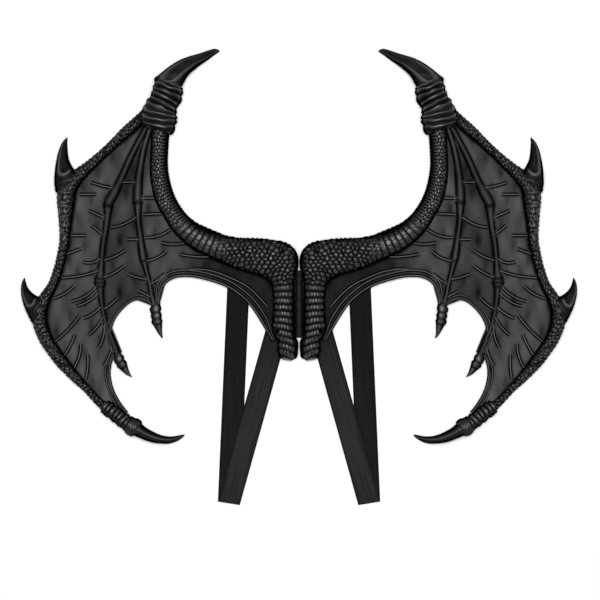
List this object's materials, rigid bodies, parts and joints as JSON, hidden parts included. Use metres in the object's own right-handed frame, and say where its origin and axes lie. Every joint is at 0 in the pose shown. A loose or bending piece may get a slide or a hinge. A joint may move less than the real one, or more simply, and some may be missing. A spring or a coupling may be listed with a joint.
{
  "type": "pair of costume dragon wings",
  "caption": "Black foam dragon wings joined in the middle, with clawed scaly arms, veined membranes and elastic shoulder straps to wear them on the back.",
  "frame": {"origin": "middle of the hinge panel's flat back, on the surface that the wings lie on", "axes": "+X across the span to the viewer's right, +Y up the wings towards the thumb claws, +Z out of the front"},
  "size_m": [0.7988, 0.656, 0.0331],
  "materials": {
    "limb_foam": "satin black skin over soft moulded foam, cast in scales and rings",
    "claw_foam": "smooth satin black skin over soft moulded foam",
    "membrane_foam": "charcoal soft foam sheet with a faint sheen",
    "elastic": "flat woven black elastic",
    "hinge_fabric": "smooth black stretch fabric"
  },
  "bodies": {
    "root": {"hinge_panel": "hinge_fabric", "left_arm": "limb_foam", "left_leading_rim": "limb_foam", "left_wrist_cuff": "limb_foam", "left_thumb_claw": "claw_foam", "left_upper_spur": "claw_foam", "left_lower_spur": "claw_foam", "left_tip_collar": "limb_foam", "left_tip_claw": "claw_foam", "left_long_finger": "limb_foam", "left_short_finger": "limb_foam", "left_long_finger_claw": "claw_foam", "left_short_finger_claw": "claw_foam", "left_membrane": "membrane_foam", "left_strap": "elastic", "right_arm": "limb_foam", "right_leading_rim": "limb_foam", "right_wrist_cuff": "limb_foam", "right_thumb_claw": "claw_foam", "right_upper_spur": "claw_foam", "right_lower_spur": "claw_foam", "right_tip_collar": "limb_foam", "right_tip_claw": "claw_foam", "right_long_finger": "limb_foam", "right_short_finger": "limb_foam", "right_long_finger_claw": "claw_foam", "right_short_finger_claw": "claw_foam", "right_membrane": "membrane_foam", "right_strap": "elastic"}
  },
  "joints": []
}
